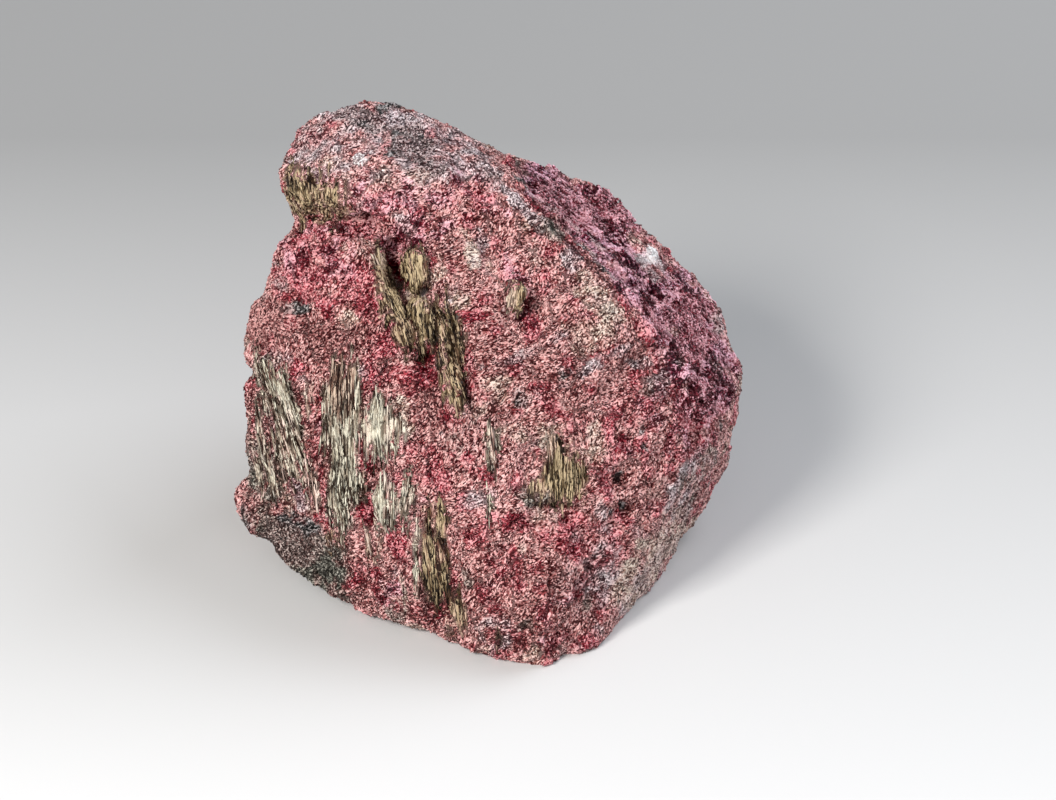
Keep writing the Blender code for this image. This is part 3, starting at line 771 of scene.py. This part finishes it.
def sow_grains(skin, rock):
    """Covers the stone in crystals of each mineral, in meshes of a limited size."""
    draw = np.random.default_rng(DRAW_SEED)
    places, near = scatter(skin, GRAIN_COUNT, draw)
    names = list(rock["shares"])
    heaps = np.cumsum(np.stack([rock["shares"][mineral][near] for mineral in names]), axis=0)
    chosen = (draw.random(GRAIN_COUNT)[None] > heaps).sum(axis=0)
    bearing = draw.random(GRAIN_COUNT)
    for index, mineral in enumerate(names + ["pink"]):
        if mineral in FIBROUS:
            form, way, stretch = LATH, "lean", FIBRE_STRETCH
        else:
            form, way, stretch = BLOCK, "beds", MASSIVE_STRETCH
        *middle_size, spread, tilt, sink, kept = GRAINS[mineral]
        here = np.flatnonzero((chosen == index) & (bearing < kept))
        most = MOST_TRIANGLES // len(form[1])
        for number, start in enumerate(range(0, len(here), most)):
            some = here[start:start + most]
            sizes = [
                middle * draw.lognormal(0.0, varied, len(some))
                for middle, varied in zip(middle_size, SIZE_SPREAD)
            ]
            normals = rock["normals"][near[some]]
            if mineral in FIBROUS:
                gain, least, longest = FIBRE_SHORTENING
                sizes[0] = sizes[0] * np.clip(gain * normals @ OUTWARD, least, longest)
            turns = rock[way][near[some]] + draw.normal(0.0, spread, len(some))
            tones = {kind: share[near[some]] for kind, share in rock["shares"].items()}
            reach = TONE_REACH.get(mineral, MASSIVE_REACH)
            # Each crystal takes its place's tone, painted shade and highlights included, and varies
            # it a little.
            tones["pale"] = rock["pale"][near[some]] + draw.uniform(-reach, reach, len(some))
            yield shards(
                f"{mineral}_grains_{number + 1}", form, places[some], normals, turns, sizes, tilt,
                sink, stretch, tones, draw
            )


# Each mineral's colours in its dark, middle and light grains, and its roughness.
PALETTE = {
    "pink": ((0.048, 0.002, 0.003), (0.42, 0.142, 0.136), (0.93, 0.55, 0.53), 0.40),
    "crimson": ((0.070, 0.000, 0.004), (0.41, 0.036, 0.058), (0.93, 0.39, 0.42), 0.30),
    "magenta": ((0.034, 0.000, 0.007), (0.34, 0.034, 0.080), (0.96, 0.56, 0.68), 0.32),
    "mauve": ((0.036, 0.002, 0.003), (0.24, 0.068, 0.066), (0.73, 0.39, 0.37), 0.40),
    "grey": ((0.042, 0.020, 0.024), (0.37, 0.262, 0.276), (0.86, 0.75, 0.77), 0.44),
    "charcoal": ((0.004, 0.004, 0.004), (0.055, 0.050, 0.050), (0.48, 0.44, 0.44), 0.38),
    "moss": ((0.010, 0.009, 0.006), (0.095, 0.087, 0.070), (0.48, 0.46, 0.40), 0.46),
    "beige": ((0.060, 0.024, 0.018), (0.47, 0.300, 0.235), (0.94, 0.80, 0.69), 0.44),
    "white": ((0.36, 0.28, 0.29), (0.88, 0.82, 0.83), (0.99, 0.97, 0.97), 0.30),
    "mint": ((0.030, 0.018, 0.010), (0.34, 0.280, 0.205), (0.79, 0.75, 0.61), 0.46),
    "olive": ((0.012, 0.006, 0.002), (0.100, 0.061, 0.025), (0.53, 0.41, 0.25), 0.48),
}


def group_socket(group, name, kind, way):
    group.interface.new_socket(name=name, socket_type=kind, in_out=way)


def live(sockets, name):
    """The socket of that name which the node's present mode uses."""
    return next(s for s in sockets if s.name == name and s.enabled)


def feed(tree, value, target):
    """Joins an output to an input, or sets the input to a plain value."""
    if isinstance(value, bpy.types.NodeSocket):
        tree.links.new(value, target)
    elif isinstance(value, tuple):
        target.default_value = (*value, 1.0)
    else:
        target.default_value = value


def colour_mix(tree, factor, first, second):
    """A colour between two others. Each argument is an output or a plain value."""
    node = tree.nodes.new("ShaderNodeMix")
    node.data_type = "RGBA"
    for name, value in (("Factor", factor), ("A", first), ("B", second)):
        feed(tree, value, live(node.inputs, name))
    return live(node.outputs, "Result")


def ramp(tree, value, low, high, bottom=0.0, top=1.0):
    """A value taken from the range low to high onto the range bottom to top."""
    node = tree.nodes.new("ShaderNodeMapRange")
    node.inputs["From Min"].default_value = low
    node.inputs["From Max"].default_value = high
    node.inputs["To Min"].default_value = bottom
    node.inputs["To Max"].default_value = top
    tree.links.new(value, node.inputs["Value"])
    return node.outputs["Result"]


def vector_node(tree, operation, *values):
    node = tree.nodes.new("ShaderNodeVectorMath")
    node.operation = operation
    for value, target in zip(values, node.inputs):
        tree.links.new(value, target)
    return node


def parts(tree, vector):
    node = tree.nodes.new("ShaderNodeSeparateXYZ")
    tree.links.new(vector, node.inputs["Vector"])
    return list(node.outputs)


def facet_group():
    """Cells of broken crystal: three chances for each cell, and the height of its facet."""
    group = bpy.data.node_groups.new("broken facets", "ShaderNodeTree")
    group_socket(group, "Place", "NodeSocketVector", "INPUT")
    group_socket(group, "Fineness", "NodeSocketFloat", "INPUT")
    group_socket(group, "Chances", "NodeSocketVector", "OUTPUT")
    group_socket(group, "Height", "NodeSocketFloat", "OUTPUT")
    entry = group.nodes.new("NodeGroupInput")
    leave = group.nodes.new("NodeGroupOutput")
    cells = group.nodes.new("ShaderNodeTexVoronoi")
    group.links.new(entry.outputs["Place"], cells.inputs["Vector"])
    group.links.new(entry.outputs["Fineness"], cells.inputs["Scale"])
    middle = group.nodes.new("ShaderNodeVectorMath")
    middle.operation = "SUBTRACT"
    group.links.new(cells.outputs["Color"], middle.inputs[0])
    middle.inputs[1].default_value = (0.5, 0.5, 0.5)
    reach = vector_node(group, "SUBTRACT", entry.outputs["Place"], cells.outputs["Position"])
    tilt = vector_node(group, "DOT_PRODUCT", middle.outputs["Vector"], reach.outputs["Vector"])
    group.links.new(cells.outputs["Color"], leave.inputs["Chances"])
    group.links.new(tilt.outputs["Value"], leave.inputs["Height"])
    return group


def tone_group():
    """Colour of a grain: dark, middle or light by its tone."""
    group = bpy.data.node_groups.new("grain tone", "ShaderNodeTree")
    group_socket(group, "Tone", "NodeSocketFloat", "INPUT")
    for name in ("Dark", "Middle", "Light"):
        group_socket(group, name, "NodeSocketColor", "INPUT")
    group_socket(group, "Color", "NodeSocketColor", "OUTPUT")
    entry = group.nodes.new("NodeGroupInput")
    leave = group.nodes.new("NodeGroupOutput")
    low = ramp(group, entry.outputs["Tone"], 0.0, 0.5)
    high = ramp(group, entry.outputs["Tone"], 0.5, 1.0)
    darker = colour_mix(group, low, entry.outputs["Dark"], entry.outputs["Middle"])
    colour = colour_mix(group, high, darker, entry.outputs["Light"])
    group.links.new(colour, leave.inputs["Color"])
    return group


def facets(tree, place, fineness):
    """The chances of each cell of broken crystal, and the height of its facet."""
    node = tree.nodes.new("ShaderNodeGroup")
    node.node_tree = FACETS
    tree.links.new(place, node.inputs["Place"])
    node.inputs["Fineness"].default_value = fineness
    return parts(tree, node.outputs["Chances"]), node.outputs["Height"]


def toned(tree, tone, tones):
    """The colour of one mineral at this tone."""
    node = tree.nodes.new("ShaderNodeGroup")
    node.node_tree = TONE
    feed(tree, tone, node.inputs["Tone"])
    for name, colour in zip(("Dark", "Middle", "Light"), tones):
        feed(tree, colour, node.inputs[name])
    return node.outputs["Color"]


def stored(tree, name):
    node = tree.nodes.new("ShaderNodeAttribute")
    node.attribute_name = name
    return node


def weighed(tree, *terms):
    """The sum of values, each times its weight. Both are outputs or plain values."""
    total = 0.0
    for value, weight in terms:
        node = tree.nodes.new("ShaderNodeMath")
        node.operation = "MULTIPLY_ADD"
        feed(tree, value, node.inputs[0])
        feed(tree, weight, node.inputs[1])
        feed(tree, total, node.inputs[2])
        total = node.outputs[0]
    return total


ROCK_IOR = 1.7
ROCK_SHEEN = 0.12


def new_material(name):
    material = bpy.data.materials.new(name)
    material.use_nodes = True
    tree = material.node_tree
    shader = tree.nodes["Principled BSDF"]
    shader.inputs["IOR"].default_value = ROCK_IOR
    shader.inputs["Specular IOR Level"].default_value = ROCK_SHEEN
    return material, tree, shader


# How much the roughness varies from facet to facet.
GLINT = 0.30

# The facets that are too fine to model: cells to a millimetre, how much a cell's chance shifts
# the tone, and how high its facet stands. In magenta crystal the fine ones differ more, by
# CHUNKY_CONTRAST. MIDDLE_TONE brings the sum of it all to the middle.
FACET_SIZES = {"finest": (4.4, 1.9, 1.3), "fine": (2.4, 0.4, 0.6), "coarse": (1.1, 0.15, 0.5)}
CHUNKY_CONTRAST = 1.6
MIDDLE_TONE = -0.70
BUMP_STRENGTH = 0.9


def raise_relief(tree, shader, height, strength):
    """Relief from a height in millimetres."""
    bump = tree.nodes.new("ShaderNodeBump")
    bump.inputs["Strength"].default_value = strength
    bump.inputs["Distance"].default_value = MM
    tree.links.new(height, bump.inputs["Height"])
    tree.links.new(bump.outputs["Normal"], shader.inputs["Normal"])


def rock_finish(tree, tone, chance):
    """Colour and roughness of the minerals at this tone, each by its share of the place."""
    *tones, dull = PALETTE["pink"]
    colour = toned(tree, tone, tones)
    for mineral in REGIONS:
        *tones, roughness = PALETTE[mineral]
        share = stored(tree, mineral).outputs["Fac"]
        colour = colour_mix(tree, share, colour, toned(tree, tone, tones))
        dull = weighed(tree, (share, roughness - PALETTE["pink"][3]), (dull, 1.0))
    return colour, weighed(tree, (chance, GLINT), (dull, 1.0), (1.0, -GLINT / 2))


def rock_material():
    """Broken crystal: fine facets in coarser ones, laid out as the rock lies."""
    material, tree, shader = new_material("broken rhodonite")
    place = stored(tree, "lie").outputs["Vector"]
    chances, tones, heights = {}, [], []
    for size, (fineness, tone_weight, height_weight) in FACET_SIZES.items():
        chances[size], height = facets(tree, place, fineness)
        tones.append((chances[size][0], tone_weight))
        heights.append((height, height_weight))
    # The stored tone holds painted shade and highlights besides the rock's own tone.
    pale = stored(tree, "pale").outputs["Fac"]
    chunky = weighed(tree, (stored(tree, "magenta").outputs["Fac"], CHUNKY_CONTRAST))
    tone = weighed(
        tree, *tones, (pale, 1.0), (1.0, MIDDLE_TONE), (chances["fine"][1], chunky), (chunky, -0.5)
    )
    colour, dull = rock_finish(tree, tone, chances["fine"][2])
    tree.links.new(colour, shader.inputs["Base Color"])
    tree.links.new(dull, shader.inputs["Roughness"])
    raise_relief(tree, shader, weighed(tree, *heights), BUMP_STRENGTH)
    return material


# The paper under the stone, from its white edge to its grey one, in metres. The grey is painted
# shade, the paper darker behind the stone as if the light fell off.
PAPER_FRONT = -0.13
PAPER_BACK = 0.16
PAPER_WHITE = (0.76, 0.76, 0.76)
PAPER_PAINTED_SHADE = (0.31, 0.31, 0.31)
PAPER_DULL = 0.9
FLOOR_SIZE = 3.0

# The soft lights: name, place in metres, size, power and colour. They look at LIGHT_HEART.
LIGHTS = (
    ("key", (-0.75, -0.65, 0.85), 0.42, 17.0, (1.0, 0.97, 0.93)),
    ("sky fill", (0.75, 0.45, 0.85), 0.8, 11.0, (0.90, 0.94, 1.0)),
    ("front fill", (0.5, -1.1, 0.35), 0.9, 4.0, (1.0, 1.0, 1.0)),
)
LIGHT_HEART = (0.0, 0.0, -15.0)
ROOM_COLOUR = (0.95, 0.97, 1.0, 1.0)
ROOM_STRENGTH = 0.30


def in_view(u, v, w):
    """A point of the tilted frame, in millimetres, as a point of the part's frame."""
    return Vector((VIEW_ORIGIN + u * ACROSS + v * UPWARD + w * OUTWARD) * MM)


def aim(thing, place, target):
    thing.location = place
    thing.rotation_euler = (target - place).to_track_quat("-Z", "Y").to_euler()


def soft_light(name, place, target, size, power, colour):
    lamp = bpy.data.lights.new(name, "AREA")
    lamp.size = size
    lamp.energy = power
    lamp.color = colour
    thing = new_object(name, lamp)
    aim(thing, Vector(place), target)


def set_camera():
    lens = bpy.data.cameras.new("camera")
    lens.lens = LENS
    lens.clip_start = NEAREST_SEEN
    thing = new_object("camera", lens)
    aim(thing, in_view(*EYE_AXIS, EYE_DISTANCE), in_view(*EYE_AXIS, 0.0))
    bpy.context.scene.camera = thing


def set_light():
    heart = in_view(*LIGHT_HEART)
    for name, place, size, power, colour in LIGHTS:
        soft_light(name, place, heart, size, power, colour)
    world = bpy.data.worlds.new("studio")
    world.use_nodes = True
    background = world.node_tree.nodes["Background"]
    background.inputs["Color"].default_value = ROOM_COLOUR
    background.inputs["Strength"].default_value = ROOM_STRENGTH
    bpy.context.scene.world = world
    bpy.context.scene.view_settings.view_transform = "Standard"


def paper():
    """Plain paper that runs from white before the stone to grey behind it: painted shade standing
    in for the light's falloff.
    """
    material = bpy.data.materials.new("pale paper")
    material.use_nodes = True
    tree = material.node_tree
    shader = tree.nodes["Principled BSDF"]
    place = tree.nodes.new("ShaderNodeTexCoord").outputs["Object"]
    depth = ramp(tree, parts(tree, place)[1], PAPER_FRONT, PAPER_BACK)
    tree.links.new(colour_mix(tree, depth, PAPER_WHITE, PAPER_PAINTED_SHADE), shader.inputs["Base Color"])
    shader.inputs["Roughness"].default_value = PAPER_DULL
    return material


def lay_floor():
    shape = bmesh.new()
    bmesh.ops.create_grid(shape, x_segments=1, y_segments=1, size=FLOOR_SIZE)
    mesh = bpy.data.meshes.new("floor")
    shape.to_mesh(mesh)
    shape.free()
    floor = new_object("floor", mesh)
    mesh.materials.append(paper())


noise.seed_set(NOISE_SEED)
FACETS = facet_group()
TONE = tone_group()

skin, rock = make_skin()
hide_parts("rhodonite_stone")
pieces = [skin, *sow_grains(skin, rock)]
finish = rock_material()
for piece in pieces:
    piece.data.materials.append(finish)
    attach(piece, "root")

lay_floor()
set_light()
set_camera()
